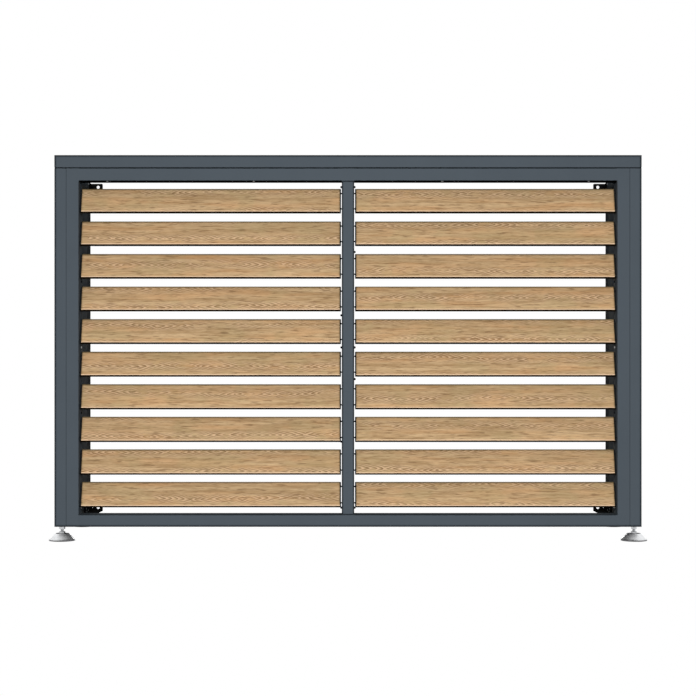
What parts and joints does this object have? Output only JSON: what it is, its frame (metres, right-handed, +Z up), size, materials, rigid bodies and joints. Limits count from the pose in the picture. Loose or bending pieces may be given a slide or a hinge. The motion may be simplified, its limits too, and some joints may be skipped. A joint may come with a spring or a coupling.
{
  "type": "privacy fence screen",
  "caption": "Free-standing louvred garden screen: wood-look slats in a dark tube frame, with back posts, wall tabs and levelling feet.",
  "frame": {"origin": "on the floor, below the middle of the whole screen", "axes": "+X along the width to the viewer's right, -Y towards the viewer in front of the slats, +Z up"},
  "size_m": [1.844, 0.51, 1.1845],
  "materials": {
    "frame_paint": "dark slate grey powder coat, fine texture, satin",
    "tab_paint": "black powder coat, satin",
    "slat_woodgrain": "oak wood-grain film on extruded aluminium, satin",
    "black_plastic": "moulded black, matt",
    "zinc_steel": "bright zinc plate, lightly brushed"
  },
  "bodies": {
    "frame": {"cap_beam": "frame_paint", "cap_end_plugs": "black_plastic", "post_top_plugs": "black_plastic", "post_foot_plugs": "black_plastic", "top_rail": "frame_paint", "bottom_rail": "frame_paint", "mullion": "frame_paint", "foot_locknuts": "zinc_steel", "stile_left": "frame_paint", "side_cap_left": "frame_paint", "side_rail_left": "frame_paint", "wall_tab_left": "tab_paint", "base_bracket_left": "tab_paint", "slat_caps_left_inner": "black_plastic", "slat_caps_left_outer": "black_plastic", "post_front_left": "frame_paint", "post_rear_left": "frame_paint", "slat_left_01": "slat_woodgrain", "slat_left_02": "slat_woodgrain", "slat_left_03": "slat_woodgrain", "slat_left_04": "slat_woodgrain", "slat_left_05": "slat_woodgrain", "slat_left_06": "slat_woodgrain", "slat_left_07": "slat_woodgrain", "slat_left_08": "slat_woodgrain", "slat_left_09": "slat_woodgrain", "slat_left_10": "slat_woodgrain", "stile_right": "frame_paint", "side_cap_right": "frame_paint", "side_rail_right": "frame_paint", "wall_tab_right": "tab_paint", "base_bracket_right": "tab_paint", "slat_caps_right_inner": "black_plastic", "slat_caps_right_outer": "black_plastic", "post_front_right": "frame_paint", "post_rear_right": "frame_paint", "slat_right_01": "slat_woodgrain", "slat_right_02": "slat_woodgrain", "slat_right_03": "slat_woodgrain", "slat_right_04": "slat_woodgrain", "slat_right_05": "slat_woodgrain", "slat_right_06": "slat_woodgrain", "slat_right_07": "slat_woodgrain", "slat_right_08": "slat_woodgrain", "slat_right_09": "slat_woodgrain", "slat_right_10": "slat_woodgrain"},
    "stem_front_left": {"foot_stem_front_left": "zinc_steel"},
    "pad_front_left": {"foot_pad_front_left": "zinc_steel"},
    "stem_rear_left": {"foot_stem_rear_left": "zinc_steel"},
    "pad_rear_left": {"foot_pad_rear_left": "zinc_steel"},
    "stem_front_right": {"foot_stem_front_right": "zinc_steel"},
    "pad_front_right": {"foot_pad_front_right": "zinc_steel"},
    "stem_rear_right": {"foot_stem_rear_right": "zinc_steel"},
    "pad_rear_right": {"foot_pad_rear_right": "zinc_steel"}
  },
  "joints": [
    {"name": "level_front_left", "type": "slide", "parent": "frame", "child": "stem_front_left", "axis": [0, 0, -1], "range_m": [-0.006, 0.025]},
    {"name": "swivel_front_left", "type": "hinge", "parent": "stem_front_left", "child": "pad_front_left", "pos_m": [-0.882, -0.215, 0.012], "axis": [0, 0, 1], "continuous": true},
    {"name": "level_rear_left", "type": "slide", "parent": "frame", "child": "stem_rear_left", "axis": [0, 0, -1], "range_m": [-0.006, 0.025]},
    {"name": "swivel_rear_left", "type": "hinge", "parent": "stem_rear_left", "child": "pad_rear_left", "pos_m": [-0.882, 0.215, 0.012], "axis": [0, 0, 1], "continuous": true},
    {"name": "level_front_right", "type": "slide", "parent": "frame", "child": "stem_front_right", "axis": [0, 0, -1], "range_m": [-0.006, 0.025]},
    {"name": "swivel_front_right", "type": "hinge", "parent": "stem_front_right", "child": "pad_front_right", "pos_m": [0.882, -0.215, 0.012], "axis": [0, 0, 1], "continuous": true},
    {"name": "level_rear_right", "type": "slide", "parent": "frame", "child": "stem_rear_right", "axis": [0, 0, -1], "range_m": [-0.006, 0.025]},
    {"name": "swivel_rear_right", "type": "hinge", "parent": "stem_rear_right", "child": "pad_rear_right", "pos_m": [0.882, 0.215, 0.012], "axis": [0, 0, 1], "continuous": true}
  ]
}
